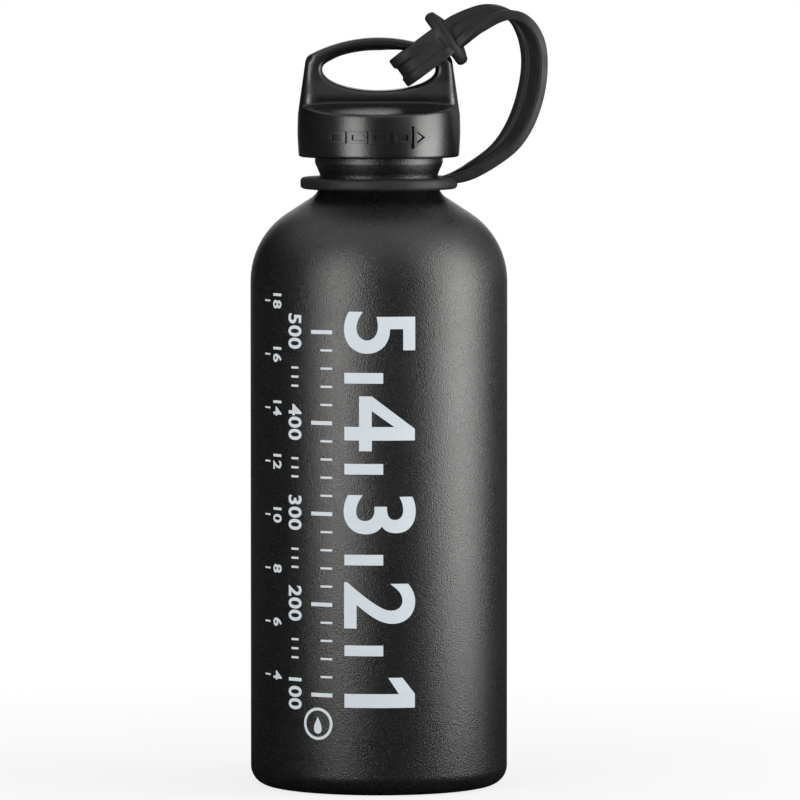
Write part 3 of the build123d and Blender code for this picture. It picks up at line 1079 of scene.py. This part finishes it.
def make_stage():
    """White floor with a soft shadow by the bottle, dark in mirror images but for a painted glow under each
    lamp that stands in for the lamp's reflection.
    """
    span = 3.0
    corners = [(-span, -span, 0), (span, -span, 0), (span, span, 0), (-span, span, 0)]
    mesh = bpy.data.meshes.new("floor")
    mesh.from_pydata(corners, [], [(0, 1, 2, 3)])
    floor = linked_object("floor", mesh)
    material = bpy.data.materials.new("floor_white")
    material.use_nodes = True
    tree = material.node_tree
    shader = tree.nodes["Principled BSDF"]
    shader.inputs["Base Color"].default_value = (0.8, 0.8, 0.8, 1)
    shader.inputs["Roughness"].default_value = 0.9
    shader.inputs["Specular IOR Level"].default_value = 0.0
    place = add_node(tree, "ShaderNodeTexCoord")
    reach = add_node(tree, "ShaderNodeVectorMath", operation="LENGTH")
    tree.links.new(place.outputs["Object"], reach.inputs[0])
    path = add_node(tree, "ShaderNodeLightPath")
    seen = combined(tree, path.outputs["Is Camera Ray"], path.outputs["Is Transmission Ray"])
    far = mapped(tree, reach.outputs["Value"], (0.05, 0.3, 0.8, 1.0))
    mirrored = mapped(tree, path.outputs["Is Glossy Ray"], (0.0, 1.0, 0.0, 0.96))
    share = combined(tree, combined(tree, far, seen, "MULTIPLY"), mirrored)
    white = add_node(tree, "ShaderNodeEmission", {"Color": (1, 1, 1, 1)})
    heading = add_node(tree, "ShaderNodeVectorMath", operation="NORMALIZE")
    tree.links.new(place.outputs["Object"], heading.inputs[0])
    beyond = mapped(tree, reach.outputs["Value"], (0.15, 0.35, 0.0, 1.0))
    # Painted reflection: under each lamp the floor glows for glossy rays, as if the lamp went on below the
    # floor.
    painted_glow_under_lamps = None
    for lamp_heading, ranges in painted_lamp_reflections:
        towards = add_node(tree, "ShaderNodeVectorMath", {1: lamp_heading}, operation="DOT_PRODUCT")
        tree.links.new(heading.outputs[0], towards.inputs[0])
        patch = mapped(tree, towards.outputs["Value"], ranges)
        painted_glow_under_lamps = combined(tree, painted_glow_under_lamps, patch) if painted_glow_under_lamps else patch
    patches = combined(tree, painted_glow_under_lamps, beyond, "MULTIPLY")
    mirrored_floor = combined(tree, patches, path.outputs["Is Glossy Ray"], "MULTIPLY")
    tree.links.new(combined(tree, seen, mirrored_floor), white.inputs["Strength"])
    mix = add_node(tree, "ShaderNodeMixShader")
    tree.links.new(share, mix.inputs["Fac"])
    tree.links.new(shader.outputs[0], mix.inputs[1])
    tree.links.new(white.outputs[0], mix.inputs[2])
    tree.links.new(mix.outputs[0], tree.nodes["Material Output"].inputs["Surface"])
    floor.data.materials.append(material)
    make_room()


def make_room():
    """White backdrop in a room that mirror images show dim: lighter at the right and above, white behind.

    Each mapped() turns the direction's X, Y or Z between two values into a brightness or a share.
    """
    world = bpy.data.worlds.new("studio_room")
    world.use_nodes = True
    bpy.context.scene.world = world
    tree = world.node_tree
    background = tree.nodes["Background"]
    background.inputs["Color"].default_value = (1, 1, 1, 1)
    place = add_node(tree, "ShaderNodeTexCoord")
    axes = add_node(tree, "ShaderNodeSeparateXYZ")
    tree.links.new(place.outputs["Generated"], axes.inputs[0])
    aside = add_node(tree, "ShaderNodeMath", operation="ABSOLUTE")
    tree.links.new(axes.outputs["X"], aside.inputs[0])
    front = mapped(tree, axes.outputs["Y"], (-0.2, 0.35, 0.12, 0.018))
    right = mapped(tree, axes.outputs["X"], (0.3, 0.6, 0.0, 0.28))
    around = combined(tree, front, right, "ADD")
    overhead = combined(
        tree,
        mapped(tree, axes.outputs["Z"], (0.5, 0.68, 0.0, 0.5)),
        mapped(tree, axes.outputs["Y"], (-0.8, -0.45, 0.4, 1.0)),
        "MULTIPLY",
    )
    behind_middle = combined(
        tree,
        mapped(tree, axes.outputs["Y"], (0.1, 0.4, 0.0, 1.0)),
        mapped(tree, aside.outputs[0], (0.1, 0.4, 1.0, 0.0)),
        "MULTIPLY",
    )
    above = combined(tree, overhead, mapped(tree, behind_middle, (0.0, 1.0, 1.0, 0.2)), "MULTIPLY")
    behind = mapped(tree, axes.outputs["Y"], (0.76, 0.86, 0.0, 1.0))
    facing = mapped(tree, aside.outputs[0], (0.12, 0.34, 1.0, 0.0))
    backdrop = combined(tree, behind, facing, "MULTIPLY")
    room = combined(tree, combined(tree, around, above, "ADD"), backdrop)
    path = add_node(tree, "ShaderNodeLightPath")
    seen = combined(tree, path.outputs["Is Camera Ray"], path.outputs["Is Transmission Ray"])
    mirrored = combined(tree, room, path.outputs["Is Glossy Ray"], "MULTIPLY")
    diffuse = mapped(tree, path.outputs["Is Diffuse Ray"], (0.0, 1.0, 0.0, 0.5))
    strength = combined(tree, combined(tree, seen, mirrored), diffuse)
    tree.links.new(strength, background.inputs["Strength"])


def add_strip(name, place, target, width, height, power):
    """Tall soft box that faces the target."""
    light = bpy.data.lights.new(name, "AREA")
    light.shape = "RECTANGLE"
    light.size, light.size_y = width, height
    light.energy = power
    light.color = (1.0, 0.985, 0.955)
    lamp = linked_object(name, light)
    lamp.location = place
    lamp.rotation_euler = (Vector(target) - Vector(place)).to_track_quat("-Z", "Y").to_euler()


def make_camera():
    """Long lens at the photograph's viewing angle, with the bottle's axis a little left of the middle."""
    distance, height = 2.4, 0.26
    side, aim = 0.006, 0.1096
    camera_data = bpy.data.cameras.new("camera")
    camera_data.lens = 380.5
    camera_data.sensor_width = 36.0
    camera = linked_object("camera", camera_data)
    camera.location = (side, -distance, height)
    direction = Vector((side, 0, aim)) - camera.location
    camera.rotation_euler = direction.to_track_quat("-Z", "Y").to_euler()
    bpy.context.scene.camera = camera


make_stage()
add_strip("right_strip", (0.48, -0.125, 0.25), (0, 0, 0.25), 0.38, 0.5, 2.05)
add_strip("left_strip", (-0.27, -0.385, 0.25), (0, 0, 0.25), 0.23, 0.5, 1.1)
make_camera()

bpy.context.scene.view_settings.view_transform = "Standard"
